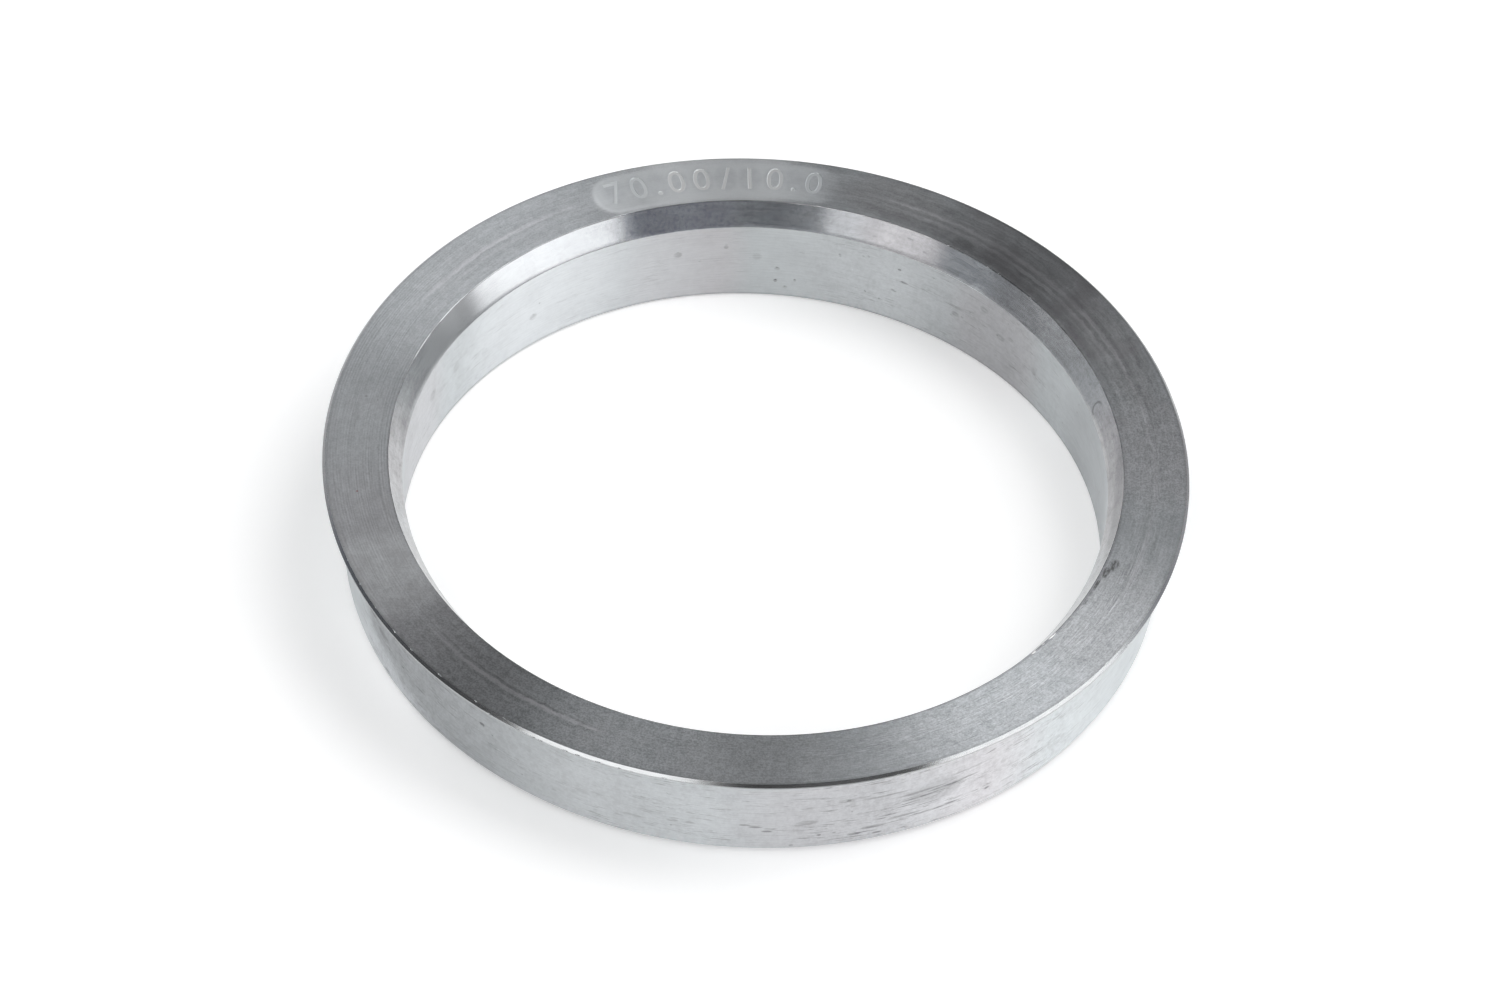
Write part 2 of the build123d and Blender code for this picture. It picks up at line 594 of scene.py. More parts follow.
# %% Groups: spot and patch
def degrees_off(place):
    """How far a point is from the group's At angle, from -180 to 180 degrees."""
    return calc("WRAP", calc("SUBTRACT", place["Angle"], place["At angle"]), 180.0, -180.0)


placed_at = {"Angle": 0.0, "Across": 0.0, "At angle": 0.0, "At": 32.0, "Half angle": 5.0, "Half width": 1.0}
spot, group_in, group_out = new_group("spot", placed_at, {"Mask": "Float"})
share_along = calc("DIVIDE", degrees_off(group_in), group_in["Half angle"])
share_across = calc("DIVIDE", calc("SUBTRACT", group_in["Across"], group_in["At"]), group_in["Half width"])
reach = calc("ADD", times(share_along, share_along), times(share_across, share_across))
feed(group_out["Mask"], ramp(reach, 1.0, 0.2))

patch, group_in, group_out = new_group(
    "patch", {**placed_at, "Corner": 0.5, "Softness": 0.3, "Arc radius": 32.0},
    {"Inside": "Float", "Outline": "Float"},
)
mm_per_degree = calc("MULTIPLY", group_in["Arc radius"], radians(1))
half_length = calc("MULTIPLY", group_in["Half angle"], mm_per_degree)
along = calc("MULTIPLY", calc("ABSOLUTE", degrees_off(group_in)), mm_per_degree)
sideways = calc("ABSOLUTE", calc("SUBTRACT", group_in["Across"], group_in["At"]))
past_end = calc("SUBTRACT", along, calc("SUBTRACT", half_length, group_in["Corner"]))
past_side = calc("SUBTRACT", sideways, calc("SUBTRACT", group_in["Half width"], group_in["Corner"]))
square_end = calc("POWER", calc("MAXIMUM", past_end, 0.0), 2.0)
square_side = calc("POWER", calc("MAXIMUM", past_side, 0.0), 2.0)
outer = calc("SQRT", calc("ADD", square_end, square_side))
inner = calc("MINIMUM", calc("MAXIMUM", past_end, past_side), 0.0)
distance = calc("SUBTRACT", calc("ADD", outer, inner), group_in["Corner"])
half_soft = calc("MULTIPLY", group_in["Softness"], 0.5)
feed(group_out["Inside"], ramp(distance, half_soft, calc("MULTIPLY", half_soft, -1.0)))
feed(group_out["Outline"], ramp(calc("ABSOLUTE", distance), group_in["Softness"], 0.0))
print("groups spot and patch made")

# %% [markdown]
# The metal itself is one Principled BSDF per finish. Turned metal is anisotropic: its grooves spread light
# across themselves far more than along themselves, which is what draws the bright fan on a facing cut. A
# Tangent node set to Radial follows the turning, and a quarter turn of Anisotropic Rotation lays the spread
# across the grooves. Roughness sets the spread and Anisotropic its ratio, so a small function works both
# out from the two spreads.

# %% Metal base
aluminium = (0.402, 0.433, 0.458, 1)
warm_aluminium = (0.430, 0.428, 0.455, 1)
bright_aluminium = (0.635, 0.665, 0.677, 1)
warm_bright_aluminium = (0.682, 0.660, 0.677, 1)
edge_aluminium = (0.455, 0.465, 0.470, 1)
mouth_aluminium = (0.378, 0.386, 0.395, 1)
dark_tone = (0.20, 0.20, 0.21, 1)
stain_tone = (0.34, 0.325, 0.345, 1)
light_tone = (0.80, 0.82, 0.84, 1)
white = (1, 1, 1, 1)

# Spread of the highlight across and along the grooves
faced_spread = (0.35, 0.05)
polished_spread = (0.06, 0.03)
wall_spread = (0.5, 0.1)


def lobe(across, along):
    """Roughness and Anisotropic that give these spreads of the highlight."""
    return sqrt(sqrt(across * along)), (1 - along / across) / 0.9


print("lobe for the face:", lobe(*faced_spread))

# %% [markdown]
# Every finish is built in the same way: patterns are made, and laid over the colour one after another. A
# Python class keeps what they all read in one place, which is the node tree, the turned coordinates and the
# colour so far. Most texture is laid on evenly, by grade: a pattern darkens the metal where it is strong
# and lightens it where it is weak, so that more texture doesn't make the whole surface darker.

# %% A surface to lay patterns on
class Surface:
    """A turned surface while its metal is made. side names the coordinate that runs across the turning."""

    def __init__(self, finish, colour, spread, side):
        material = bpy.data.materials[finish]
        material.use_nodes = True
        self.tree = material.node_tree
        self.metal = self.tree.nodes["Principled BSDF"].inputs
        self.colour = colour
        self.roughness, anisotropic = lobe(*spread)
        self.metal["Base Color"].default_value = colour
        self.metal["Metallic"].default_value = 1
        self.metal["Roughness"].default_value = self.roughness
        self.metal["Anisotropic"].default_value = anisotropic
        self.metal["Anisotropic Rotation"].default_value = 0.25
        tangent = add_node(self.tree, "Tangent", direction_type="RADIAL", axis="Z")
        feed(self.metal["Tangent"], tangent.outputs[0])
        self.position = add_node(self.tree, "TexCoord").outputs["Object"]
        place = place_group(self.tree, turned_place, {"Position": self.position})
        self.around, self.angle, self.side = place["Around"], place["Angle"], place[side]

    def streaks(self, turns, per_mm, seed=0.0, start=0.35, end=0.65, side=None):
        """Streaks along the turning. Another side, such as a bent radius, makes them waver."""
        inputs = {"Around": self.around, "Across": side or self.side, "Turns": turns, "Per mm": per_mm}
        return place_group(self.tree, streaks, {**inputs, "Seed": seed, "Start": start, "End": end})["Mask"]

    def tool_lines(self, pitch):
        inputs = {"Around": self.around, "Across": self.side, "Pitch": pitch}
        return place_group(self.tree, tool_lines, inputs)["Lines"]

    def blotches(self, size, start=0.45, end=0.65):
        inputs = {"Position": self.position, "Size in mm": size, "Start": start, "End": end}
        return place_group(self.tree, blotches, inputs)["Mask"]

    def specks(self, spacing, size, share):
        inputs = {"Position": self.position, "Spacing in mm": spacing, "Size": size, "Share": share}
        return place_group(self.tree, specks, inputs)["Mask"]

    def patch(self, inputs):
        return place_group(self.tree, patch, {"Angle": self.angle, "Across": self.side, **inputs})

    def spots(self, *spots, side=None):
        """One mask for all the spots, each (at angle, at, half angle, half width, strength)."""
        mask = 0.0
        for at_angle, at, half_angle, half_width, strength in spots:
            inputs = {"Angle": self.angle, "Across": side or self.side, "At angle": at_angle, "At": at}
            inputs |= {"Half angle": half_angle, "Half width": half_width}
            shape = place_group(self.tree, spot, inputs)["Mask"]
            mask = calc("MAXIMUM", mask, calc("MULTIPLY", shape, strength))
        return mask

    def lay(self, mask, share, tone=dark_tone):
        """Lays a tone over the colour, at most this share of it, where the mask is 1."""
        self.colour = lay_over(self.colour, mask, share, tone)

    def grade(self, mask, where, share):
        """Darkens the colour where the mask is 1 and lightens it where it is 0, as far as where lets it."""
        self.lay(calc("MULTIPLY", mask, where), share)
        self.lay(calc("MULTIPLY", calc("SUBTRACT", 1.0, mask), where), share, light_tone)

    def finish(self, relief=None, relief_mm=0.0):
        """Feeds the colour into the metal, and a relief that rises by this many millimetres at most."""
        feed(self.metal["Base Color"], self.colour)
        if relief:
            inputs = {"Height": relief, "Strength": 1.0, "Distance": relief_mm * MM}
            feed(self.metal["Normal"], add_node(self.tree, "Bump", inputs).outputs[0])


print("surfaces can be made")

# %% [markdown]
# The face was cut last, by a tool that moved outwards a fifth of a millimetre each turn. Its material
# stacks layers from the broad to the fine: uneven bands, tool lines, a sandy grain, then short dashes,
# stains and single marks. None of them is the same all round, so spots say where each one is strong. The
# bands waver, because they read a radius that noise has bent a little.

# %% Faced metal: the layers
face = Surface("faced_metal", aluminium, faced_spread, "Radius")
bend = calc("SUBTRACT", face.blotches(5, 0, 1), 0.5)
ripple = calc("SUBTRACT", face.blotches(1, 0, 1), 0.5)
wavy_radius = calc("MULTIPLY_ADD", bend, 0.9, calc("MULTIPLY_ADD", ripple, 0.5, face.side))
bent_radius = calc("MULTIPLY_ADD", bend, 0.35, calc("MULTIPLY_ADD", ripple, 0.3, face.side))

lines = face.tool_lines(0.22)
bands = face.streaks(1.6, 1.3, 120, side=wavy_radius)
fine_bands = face.streaks(5, 5, 20, side=wavy_radius)
grain = face.streaks(26, 9, 80)
dark_dashes = face.streaks(36, 13, 31, 0.56, 0.68)
light_dashes = face.streaks(40, 14, 7, 0.58, 0.7)
dark_hairs = face.streaks(13, 16, 47, 0.58, 0.66)
light_hairs = face.streaks(15, 16, 63, 0.58, 0.66)
torn = face.streaks(18, 3.2, 55, 0.4, 0.6, wavy_radius)
sand = face.blotches(0.14, 0.38, 0.62)
mottle = face.blotches(0.7, 0.36, 0.64)
patchy = face.blotches(2.2, 0.4, 0.62)
stain = face.blotches(4)
print("layers of the face ready")

# %% Faced metal: broad layers
pale_tone = (0.80, 0.79, 0.82, 1)
fan = face.spots(
    (-50, 32, 36, 7, 1), (-100, 32, 42, 7, 0.55), (-10, 31.9, 26, 1.4, 0.6), (8, 32.2, 13, 3, 0.8),
)
lined = face.spots((180, 32, 46, 8, 1.8), (-45, 32, 40, 8, 0.6))
banded = face.spots((48, 32, 42, 8, 1), (-125, 32, 24, 8, 0.5), (-20, 32, 22, 8, 0.4))
sandy = face.spots((-112, 32, 44, 8, 1), (-40, 32, 36, 8, 0.4), (6, 32, 18, 8, 0.8))
stained = face.spots((40, 32, 40, 8, 1), (-150, 32, 24, 8, 0.5))
warm = face.spots((-150, 32, 30, 9, 1), (6, 32, 12, 9, 0.7), (46, 32, 20, 9, 0.5))
lightened = face.spots(
    (-152, 32, 10, 9, 1.35), (-170, 32, 24, 9, 0.35), (-131, 32, 13, 9, 0.65), (-88, 32, 13, 9, 0.45),
    (50, 32, 12, 9, 0.4), (99, 32.5, 19, 8, 0.75),
)

face.lay(warm, 1.0, warm_aluminium)
face.lay(lightened, 0.7, light_tone)
darkened = face.spots(
    (27, 32.3, 15, 2.8, 1.5), (71, 32.3, 11, 3.2, 1.7), (-28, 32, 14, 9, 0.9), (128, 32, 26, 9, 0.4),
    (46, 32, 40, 9, 0.2), (-66, 32, 12, 9, 0.3),
)
face.lay(darkened, 0.45)
face.grade(bands, at_least(banded, 0.35), 0.26)
face.grade(fine_bands, at_least(banded, 0.6), 0.15)
face.grade(patchy, at_least(stained, 0.3), 0.10)
face.grade(lines, at_least(lined, 0.35), 0.17)
face.grade(grain, 1.0, 0.08)
face.grade(sand, at_least(sandy, 0.35), 0.30)
face.grade(mottle, at_least(sandy, 0.6), 0.11)
face.lay(times(stain, at_least(stained, 0.15)), 0.45, stain_tone)

light_bands = face.spots(
    (44, 32.15, 44, 0.24, 1), (50, 31.45, 30, 0.22, 0.6), (137, 32.2, 19, 0.26, 1),
    (-124, 32.2, 20, 0.24, 2), (-8, 32.2, 22, 0.22, 0.5), (137, 31.4, 14, 0.14, 0.5),
    (-134, 31.6, 14, 0.2, 0.4), side=bent_radius,
)
dark_bands = face.spots(
    (46, 30.35, 42, 0.55, 0.8), (48, 31.75, 40, 0.2, 0.7), (48, 31.05, 36, 0.22, 0.7),
    (42, 32.62, 42, 0.24, 0.8), (-126, 31.85, 20, 0.16, 1), (-126, 32.6, 18, 0.18, 0.5),
    (135, 31.9, 18, 0.12, 0.3), (-12, 31.9, 20, 0.12, 0.4), side=bent_radius,
)
face.lay(times(light_bands, at_least(torn, 0.45)), 0.34, pale_tone)
face.lay(times(dark_bands, at_least(torn, 0.6)), 0.40)
print("broad layers of the face made")

# %% [markdown]
# The small marks come next. Dashes are short streaks along the turning, specks are single grains, and the
# smudges near the mouth are scraped: streaks break them up. A thin line of painted shade closes the face at
# both edges, and white spots along the mouth's edge are painted glints.

# %% Faced metal: dashes, specks and single marks
smudge_tone = (0.10, 0.10, 0.10, 1)
rust_tone = (0.30, 0.13, 0.12, 1)
face.lay(times(dark_dashes, at_least(fan, 0.15)), 0.42)
face.lay(times(light_dashes, at_least(fan, 0.15)), 0.40, light_tone)
haired = face.spots((-48, 31.9, 54, 1, 1), (-92, 31.8, 24, 1.8, 0.7), (2, 32.2, 18, 0.6, 0.7))
face.lay(times(dark_hairs, haired), 0.40)
face.lay(times(light_hairs, haired), 0.55, light_tone)
face.lay(face.specks(0.9, 0.12, 0.14), 0.4)
dusted = face.spots((-105, 31.6, 36, 2.6, 1), (-30, 32, 40, 3, 0.4))
face.lay(times(face.specks(0.55, 0.15, 0.22), at_least(dusted, 0.15)), 0.6, light_tone)

smudges = face.spots(
    (-18, 30.5, 1.5, 0.42, 1), (-19.8, 30.15, 1.5, 0.34, 1), (-22.6, 29.95, 1.8, 0.16, 1),
    (-25, 29.95, 0.8, 0.15, 0.6), (-26.8, 29.95, 0.9, 0.16, 1), (18.4, 30.4, 0.5, 0.2, 0.5),
    (-12.5, 32.9, 2.4, 0.25, 0.3), (58, 30.7, 2.4, 0.5, 0.4),
)
scraped = face.streaks(40, 5, 66, 0.42, 0.54)
face.lay(times(smudges, at_least(scraped, 0.35)), 0.85, smudge_tone)
small_marks = face.spots(
    (172.3, 32.2, 0.22, 0.16, 0.6), (172.7, 31.2, 0.2, 0.1, 0.6), (166.9, 31.2, 0.3, 0.07, 0.5),
    (178, 32.6, 1.2, 0.06, 0.5), (-9.5, 33.6, 1.2, 0.08, 0.4), (12, 33.3, 1.4, 0.07, 0.4),
    (-134, 32.9, 0.8, 0.2, 0.4), (-139, 30.6, 1.2, 0.12, 0.4),
)
face.lay(small_marks, 0.7)
face.lay(face.spots((-168.8, 32.4, 0.22, 0.12, 1)), 0.7, rust_tone)

# Painted shade: a thin dark line along the face's inner edge, and below it a darker band at the outer edge.
painted_edge_shade = face.spots((-40, 29.7, 75, 0.24, 0.8), (99, 29.7, 15, 0.34, 1), (-170, 29.7, 24, 0.2, 0.6))
face.lay(times(painted_edge_shade, at_least(torn, 0.5)), 0.6)
face.lay(ramp(face.side, 34.5, 34.75), 0.30)
# Painted glints: white spots at the mouth's edge.
painted_glints = face.spots((-35.8, 29.78, 1.1, 0.12, 1), (-40.3, 29.78, 0.6, 0.12, 1), (-38, 29.76, 0.4, 0.08, 0.6))
face.lay(painted_glints, 0.9, white)
print("marks of the face made")

# %% [markdown]
# The numbers stand on a paler pad with round ends, where the marking tool left the metal matt. It fades out
# to the right, and its edge shows as a thin light line on the left. Painted light brightens the face round
# the numbers, and painted shade darkens the metal a little round each number.

# %% Faced metal: the pad round the numbers
pad_tone = (0.66, 0.685, 0.70, 1)
painted_light_tone = (0.92, 0.945, 0.965, 1)
painted_shade_tone = (0.36, 0.38, 0.42, 1)
painted_light_round_numbers = (98, 32.2, 13, 9, 1.0)

pad = face.patch({
    "At angle": 98.6, "Half angle": 18.6, "At": 32.15, "Half width": 2.05, "Corner": 1.8, "Softness": 0.4,
})
pad_fade = ramp(face.angle, 79.0, 86.0)
pad_inside = times(pad["Inside"], pad_fade)
face.lay(times(pad_inside, at_least(sand, 0.8), at_least(patchy, 0.75)), 0.70, pad_tone)
# Painted light brightens the face round the numbers.
face.lay(face.spots(painted_light_round_numbers), 0.55, painted_light_tone)
# Painted shade darkens the metal a little round each number.
number_shade_spots = [(mark_angle, mark_baseline_r / MM + 1.2, 2.3, 1.7, 1.0) for mark_angle in mark_angles]
face.lay(times(face.spots(*number_shade_spots), at_least(mottle, 0.6)), 0.22, painted_shade_tone)
outline_fade = at_least(ramp(face.side, 33.6, 32.0), 0.35)
face.lay(times(pad["Outline"], ramp(face.angle, 94.0, 112.0), outline_fade), 0.35, light_tone)

near_pad = calc("MULTIPLY", face.spots((100, 32.5, 20, 8, 1)), 0.1)
matt = calc("MAXIMUM", calc("MULTIPLY", pad_inside, 0.14), near_pad)
feed(face.metal["Roughness"], calc("MULTIPLY_ADD", sand, 0.03, calc("ADD", matt, face.roughness)))
relief = calc("MULTIPLY_ADD", grain, 0.5, times(lines, at_least(lined, 0.5)))
relief = calc("MULTIPLY_ADD", times(sand, at_least(sandy, 0.3)), 0.9, relief)
face.finish(relief, 0.002)
print("faced_metal made")

# %% [markdown]
# The rim and the mouth were broken with a sharp tool and are nearly mirrors. Their grain is faint, and what
# they show is the lights. At both sides of the ring the rim carries a painted dark reflection. The mouth's
# brightest part is the smoothest, and the rest is clouded. It has one small round print of another part's
# edge, drawn as a patch's outline that is open on one side.

# %% Rim and mouth
painted_reflection_dark_tone = (0.13, 0.13, 0.14, 1)
warm_mouth = (0.408, 0.396, 0.402, 1)
grey_mouth_tone = (0.56, 0.58, 0.59, 1)
dark_blue_mouth_tone = (0.22, 0.23, 0.31, 1)

rim = Surface("polished_rim", edge_aluminium, polished_spread, "Height")
grain = rim.streaks(30, 14)
# Painted dark reflection: the rim is darkened at both sides of the ring and a little at the front.
painted_dark_reflection = rim.spots(
    (-6, 9.9, 25, 6, 1), (38, 9.9, 26, 6, 0.9), (156, 9.9, 34, 6, 0.6), (-168, 9.9, 26, 6, 0.6),
    (-80, 9.9, 14, 6, 0.6),
)
rim.lay(grain, 0.18)
rim.lay(painted_dark_reflection, 0.85, painted_reflection_dark_tone)
rim.finish(grain, 0.0006)

mouth = Surface("mouth_metal", mouth_aluminium, polished_spread, "Height")
grain = mouth.streaks(24, 7, 3)
wisps = mouth.streaks(9, 3, 17, 0.42, 0.6)
cloudy = mouth.blotches(1.2)
clouds = mouth.blotches(3, 0.4, 0.62)
freckled = mouth.blotches(0.3, 0.46, 0.64)
dots = mouth.specks(0.8, 0.15, 0.14)
print_mark = mouth.patch({
    "At angle": 18.1, "Half angle": 1.2, "At": 8.75, "Half width": 0.52,
    "Corner": 0.5, "Softness": 0.16, "Arc radius": 29.0,
})
open_print = times(print_mark["Outline"], at_least(ramp(mouth.angle, 17.6, 18.8), 0.2))
warm = mouth.spots((4, 9, 20, 4, 1), (67, 9, 10, 4, 1), (182, 9, 14, 4, 0.8))
blue = mouth.spots((105, 9, 11, 4, 1))
greyed = mouth.spots((161, 9, 15, 4, 1), (54, 9, 7, 4, 0.6))
darker = mouth.spots(
    (-3, 9.8, 16, 1.4, 1.2), (2, 8.5, 13, 1, 0.5), (28, 9, 10, 4, 0.25), (45, 9, 8, 4, 0.9),
    (76, 9.6, 6, 2, 0.5), (18, 9, 8, 4, 0.3), (104, 9, 10, 4, 0.6), (170, 8.2, 12, 1, 0.5),
)
bright_part = mouth.spots((137, 9, 30, 5, 1), (70, 9, 15, 5, 0.6))
textured = calc("SUBTRACT", 1.0, calc("MULTIPLY", bright_part, 0.85))
marks = mouth.spots(
    (66.5, 9.35, 0.7, 0.1, 0.5), (63.5, 8.8, 0.5, 0.08, 0.5), (11, 9.4, 0.7, 0.1, 0.5),
    (5.5, 8.9, 0.6, 0.09, 0.5), (72.5, 8.7, 0.5, 0.08, 0.4), (41.5, 9.2, 0.9, 0.4, 0.3),
)
mouth.lay(warm, 1.0, warm_mouth)
# The mouth is painted greyer at two places and darker and bluer at its back.
mouth.lay(greyed, 0.7, grey_mouth_tone)
mouth.lay(times(blue, at_least(freckled, 0.5)), 0.9, dark_blue_mouth_tone)
mouth.grade(grain, textured, 0.07)
mouth.grade(wisps, times(textured, at_least(mouth.spots((50, 9, 13, 4, 1)), 0.4)), 0.2)
mouth.grade(cloudy, textured, 0.07)
mouth.grade(clouds, textured, 0.10)
mouth.grade(freckled, textured, 0.08)
mouth.lay(darker, 0.5)
mouth.lay(times(dots, textured), 0.4)
mouth.lay(times(ramp(mouth.side, 9.92, 9.97), wisps), 0.8)
mouth.lay(calc("MAXIMUM", open_print, marks), 0.8)
roughness = calc("MULTIPLY_ADD", times(cloudy, textured), 0.03, mouth.roughness)
feed(mouth.metal["Roughness"], roughness)
relief = calc("MULTIPLY_ADD", cloudy, 1.5, calc("MULTIPLY_ADD", freckled, 0.3, grain))
mouth.finish(times(relief, textured), 0.0008)
print("polished_rim and mouth_metal made")

# %% [markdown]
# The spigot and the bore are rougher cuts, rubbed by handling. Their scratches are long and thin and come
# in groups: one streak pattern draws them, a broader one lets them through only here and there, and a
# shorter one breaks them up. One function builds both walls: it takes the tinted regions, the painted
# reflections, the regions of painted shade mixed with stains, the worn regions and the single marks of each,
# and how high the painted shade at its foot reaches.

# %% Walls
def finish_wall(name, seed, foot_shade_height, warm, painted_reflections, painted_shade_and_stains, worn, marks):
    """Builds the finish of one wall. The third argument is how high the painted shade at its foot reaches,
    the rest are lists of spots.
    """
    wall = Surface(name, bright_aluminium, wall_spread, "Height")
    lines = wall.tool_lines(0.25)
    grain = wall.streaks(18, 6, seed)
    grouped = wall.streaks(5, 0.9, seed + 44, 0.44, 0.58)
    torn = wall.streaks(30, 6, seed + 80, 0.38, 0.54)
    long_scratches = times(wall.streaks(8, 9, seed + 20, 0.58, 0.68), grouped, torn)
    short_scratches = times(wall.streaks(24, 11, seed + 60, 0.58, 0.68), grouped)
    sand = wall.blotches(0.25, 0.36, 0.64)
    mottle = wall.blotches(0.6, 0.4, 0.64)
    cloud = wall.blotches(3, 0.4, 0.62)
    rubbed = at_least(wall.spots(*worn), 0.2)

    wall.lay(wall.spots(*warm), 0.9, warm_bright_aluminium)
    # Painted reflections lighten the wall, and painted shade mixed with real stains darkens it.
    wall.lay(wall.spots(*painted_reflections), 0.6, light_tone)
    wall.lay(wall.spots(*painted_shade_and_stains), 0.4)
    wall.lay(lines, 0.05)
    wall.grade(grain, 1.0, 0.05)
    wall.grade(sand, rubbed, 0.08)
    wall.grade(cloud, 1.0, 0.035)
    wall.grade(mottle, rubbed, 0.06)
    wall.lay(times(mottle, cloud, rubbed), 0.13, stain_tone)
    wall.lay(times(long_scratches, rubbed), 0.80)
    wall.lay(times(short_scratches, rubbed), 0.70)
    wall.lay(wall.specks(1, 0.12, 0.16), 0.4)
    wall.lay(wall.specks(0.7, 0.12, 0.12), 0.25, light_tone)
    wall.lay(times(wall.spots(*marks), at_least(torn, 0.4)), 0.95)
    # Painted shade darkens the wall towards the floor.
    wall.lay(ramp(wall.side, foot_shade_height, foot_shade_height * 0.5), 0.35)
    wall.finish(calc("MULTIPLY_ADD", long_scratches, -1.0, grain), 0.0012)


finish_wall(
    "turned_wall", seed=10.0, foot_shade_height=0.5,
    warm=[(-68, 4, 26, 14, 1)],
    painted_reflections=[(-78, 4, 26, 12, 0.9), (-150, 1, 13, 2.4, 1), (-73, 7, 9, 2.5, 0.5), (-104, 4, 14, 12, 0.2)],
    painted_shade_and_stains=[
        (-120, 4, 27, 12, 0.6), (-138, 4.6, 16, 4, 0.8), (-134, 1.8, 7, 3, 0.5), (-148, 4.6, 10, 2, 1),
        (-146, 6.5, 14, 3, 0.5), (-62, 4.4, 5, 1.6, 0.8),
    ],
    worn=[(-60, 3.5, 32, 9, 1), (-108, 4, 36, 9, 0.6), (-142, 5, 20, 8, 1)],
    marks=[
        (-74.6, 5.6, 0.5, 0.12, 1), (-74.8, 5.6, 1.4, 0.25, 0.35), (-69.8, 5.4, 4.5, 0.12, 0.5),
        (-63.9, 4.8, 4.5, 0.14, 0.6), (-60.4, 4.5, 3.2, 0.16, 0.9), (-63.5, 4.2, 4.4, 0.12, 0.8),
        (-57.5, 4.6, 2.6, 0.12, 0.7), (-53.7, 2.1, 0.5, 0.14, 0.9), (-56.4, 5.5, 4.2, 0.12, 0.4),
        (-62, 2.2, 4.8, 0.12, 0.8), (-66.5, 2.5, 3.2, 0.14, 0.5), (-71, 2, 2.2, 0.2, 0.7),
        (-73.5, 1.5, 1.2, 0.15, 0.8), (-70.4, 1.2, 0.9, 0.12, 0.8), (-85.6, 2.6, 0.9, 0.14, 0.7),
        (-68.8, 3, 1.6, 0.12, 0.6), (-80.2, 3.5, 1.8, 0.3, 0.4), (-87.2, 3.1, 1.2, 0.12, 0.7),
        (-88.6, 3.3, 1, 0.12, 0.6), (-85.2, 2.9, 1, 0.16, 0.5), (-82.2, 0.9, 0.4, 0.12, 1),
        (-78.5, 1.9, 0.4, 0.12, 0.9), (-76.4, 2, 0.3, 0.12, 0.8), (-50.2, 2, 1.4, 0.12, 0.5),
        (-104, 2.6, 2, 0.16, 0.3), (-98.5, 3, 1, 0.2, 0.5), (-127.6, 5.5, 0.6, 0.2, 1),
        (-125.8, 3.6, 1, 0.3, 0.3), (-144.8, 2.2, 1.2, 0.5, 0.3), (-140.2, 3.4, 1.6, 0.14, 0.5),
        (-150, 4.4, 2, 0.4, 0.5), (-154, 5, 2, 0.3, 0.6),
    ],
)
finish_wall(
    "bore_wall", seed=30.0, foot_shade_height=0.45,
    warm=[(47, 4, 12, 12, 0.6), (104, 4, 12, 12, 0.8), (168, 4, 14, 12, 0.5)],
    painted_reflections=[(124, 4, 28, 12, 1), (128, 2.5, 16, 3.5, 0.5)],
    painted_shade_and_stains=[(62, 4, 29, 12, 0.75), (14, 3, 17, 9, 0.7)],
    worn=[(56, 4, 34, 12, 0.55), (158, 4, 22, 12, 0.3)],
    marks=[
        (105.5, 5.2, 0.9, 0.4, 0.4), (97.3, 5.7, 0.5, 0.24, 0.6), (92, 4.6, 1, 0.4, 0.25),
        (132.6, 3.4, 1, 0.4, 0.3), (160.2, 5, 1.4, 0.7, 0.3), (152, 4.6, 1.2, 0.6, 0.2),
        (88.7, 1.9, 0.4, 0.2, 0.9), (88.5, 3.3, 0.6, 0.2, 0.5), (87, 1.2, 0.5, 0.2, 0.4),
        (85.4, 2.1, 0.3, 0.16, 0.8), (78, 6, 0.3, 0.2, 0.6), (67.4, 6.2, 0.4, 0.16, 0.8),
        (66.4, 4.9, 1, 0.16, 0.6), (68.4, 3.6, 0.4, 0.16, 0.6), (56.3, 4, 0.9, 0.3, 0.5),
        (50.5, 6.4, 1, 0.4, 0.35), (46.5, 4.6, 1.2, 0.4, 0.4), (38, 4, 0.8, 0.5, 0.3),
        (44.2, 5.2, 0.8, 0.3, 0.35), (73, 6.6, 0.3, 0.14, 0.5),
    ],
)
print("turned_wall and bore_wall made")

# %% [markdown]
# The engraving was cut by the same marking tool. Its strokes are matt too, a little lighter than the pad,
# and darker where the pad fades out. Near the middle of the mark they are whitened by painted light.

# %% Engraving
stroke_tone = (0.60, 0.625, 0.64, 1)
strokes = Surface("engraved_metal", pad_tone, faced_spread, "Radius")
strokes.lay(ramp(strokes.angle, 98.0, 80.0), 1.0, stroke_tone)
# Painted light whitens the strokes round the middle of the mark.
strokes.lay(strokes.spots(painted_light_round_numbers), 0.55, white)
strokes.metal["Roughness"].default_value = strokes.roughness + 0.15
strokes.finish()
print("engraved_metal made")

# %% [markdown]
# Polished metal shows little but what stands around it, so its look comes from the lights. A few large soft
# boxes on a dark surround give broad bright fields with dark gaps between them. Each is named by where it
# stands as seen from the ring: its azimuth runs from the camera's side, 0, to the right, 90, and its
# elevation is above the floor. The key and the two softboxes draw the bright fields, and the three fills
# are small or dim and open up what those leave dark. None of them shows to the camera. The surround is a
# little lighter and bluer near the floor, and lighter behind the ring, as a studio's walls would be.

# %% Lights
light_distance = 2.0


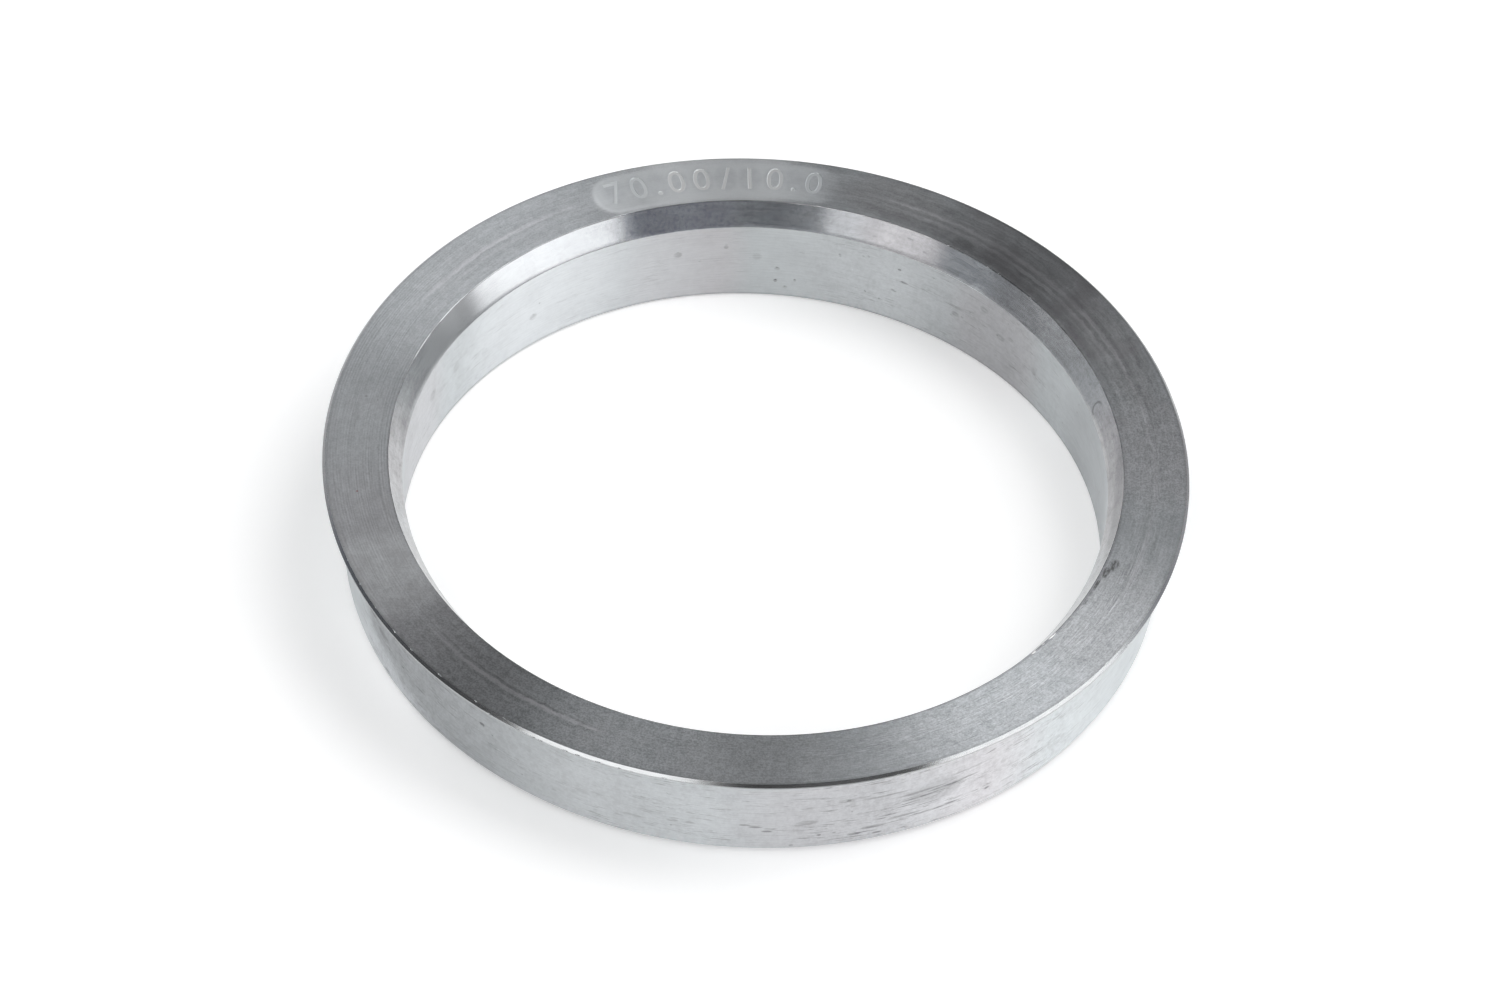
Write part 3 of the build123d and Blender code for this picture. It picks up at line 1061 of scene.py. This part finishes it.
def add_softbox(name, azimuth, elevation, half_width, half_height, roll, brightness):
    """A flat lamp that faces the ring. Its half sizes are in metres per metre of distance."""
    lamp = bpy.data.lights.new(name, "AREA")
    lamp.shape = "RECTANGLE"
    lamp.size = 2 * half_width * light_distance
    lamp.size_y = 2 * half_height * light_distance
    lamp.energy = 4 * brightness * lamp.size * lamp.size_y
    softbox = bpy.data.objects.new(name, lamp)
    a, e = radians(azimuth), radians(elevation)
    towards = Vector((sin(a) * cos(e), -cos(a) * cos(e), sin(e)))
    aim = towards.to_track_quat("Z", "Y").to_matrix().to_4x4()
    turned = aim @ Matrix.Rotation(radians(roll), 4, "Z")
    softbox.matrix_world = Matrix.Translation(towards * light_distance) @ turned
    softbox.visible_camera = False
    bpy.context.scene.collection.objects.link(softbox)


add_softbox("softbox_left", -32.7, 46.4, 0.319, 0.649, 0.8, 1.55)
add_softbox("softbox_low_right", 68.8, 17.0, 0.433, 0.313, -22.7, 1.75)
add_softbox("key_right_back", 115.1, 59.6, 0.326, 0.369, 40.4, 2.45)
add_softbox("fill_left_back", -136.7, 40.9, 0.340, 0.089, 46.4, 3.0)
add_softbox("fill_low_right_back", 117.5, 6.2, 0.403, 0.587, -4.7, 0.50)
add_softbox("fill_front", 22.0, 27.0, 0.20, 0.11, 0.0, 1.0)

plain_glow = 0.09
back_glow = 0.10
low_glow = 0.14
low_tint = (0.86, 0.97, 1.15, 1)
surround = bpy.data.worlds.new("dim_surround")
surround.use_nodes = True
tree = surround.node_tree
direction = add_node(tree, "SeparateXYZ", {0: add_node(tree, "TexCoord").outputs["Generated"]}).outputs
low = ramp(direction[2], 0.45, 0.15)
behind = ramp(direction[1], -0.1, 0.7)
strength = calc("MULTIPLY_ADD", low, low_glow, calc("MULTIPLY_ADD", behind, back_glow, plain_glow))
background = tree.nodes["Background"].inputs
feed(background["Color"], lay_over(white, low, 1.0, low_tint))
feed(background["Strength"], strength)
bpy.context.scene.world = surround
print("lights placed")

# %% [markdown]
# The floor is a pale disc that turns up into a low wall at its far edge. Near the ring it takes light and
# shadow like paper. For the camera, and for what metal and glass reflect, it is lifted to white, and
# further out it becomes plain white, so that it has no horizon.

# %% Floor
floor_radius = 3.4
floor_wall = 0.42
floor_lift = 0.2
white_from, white_to = 0.12, 0.5

floor_mesh = bpy.data.meshes.new("floor")
disc = bmesh.new()
bmesh.ops.create_circle(disc, cap_ends=True, cap_tris=False, segments=128, radius=floor_radius)
raised = bmesh.ops.extrude_edge_only(disc, edges=disc.edges[:])
for vertex in raised["geom"]:
    if isinstance(vertex, bmesh.types.BMVert):
        vertex.co.z = floor_wall
disc.to_mesh(floor_mesh)
disc.free()
floor = bpy.data.objects.new("floor", floor_mesh)
bpy.context.scene.collection.objects.link(floor)

paper = bpy.data.materials.new("pale_floor")
paper.use_nodes = True
tree = paper.node_tree
tree.nodes.remove(tree.nodes["Principled BSDF"])
matte = add_node(tree, "BsdfDiffuse", {"Color": (0.95, 0.95, 0.95, 1)}).outputs[0]
path = add_node(tree, "LightPath").outputs
reflected = calc("MAXIMUM", path["Is Glossy Ray"], path["Is Transmission Ray"])
seen = calc("MAXIMUM", path["Is Camera Ray"], reflected)
lift = add_node(tree, "Emission", {"Color": white, "Strength": calc("MULTIPLY", seen, floor_lift)}).outputs[0]
near = add_node(tree, "AddShader", {0: matte, 1: lift}).outputs[0]
plain_white = add_node(tree, "Emission", {"Color": white, "Strength": 1.0}).outputs[0]
floor_place = add_node(tree, "TexCoord").outputs["Object"]
away = vector_node("LENGTH", {0: floor_place})[1]
far_share = calc("MULTIPLY", ramp(away, white_from, white_to), seen)
mixed = add_node(tree, "MixShader", {0: far_share, 1: near, 2: plain_white}).outputs[0]
feed(tree.nodes["Material Output"].inputs["Surface"], mixed)
floor.data.materials.append(paper)
print("floor laid")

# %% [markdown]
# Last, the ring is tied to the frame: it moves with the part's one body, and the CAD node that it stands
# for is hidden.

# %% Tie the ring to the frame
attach(ring, "root")
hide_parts("hub_ring")
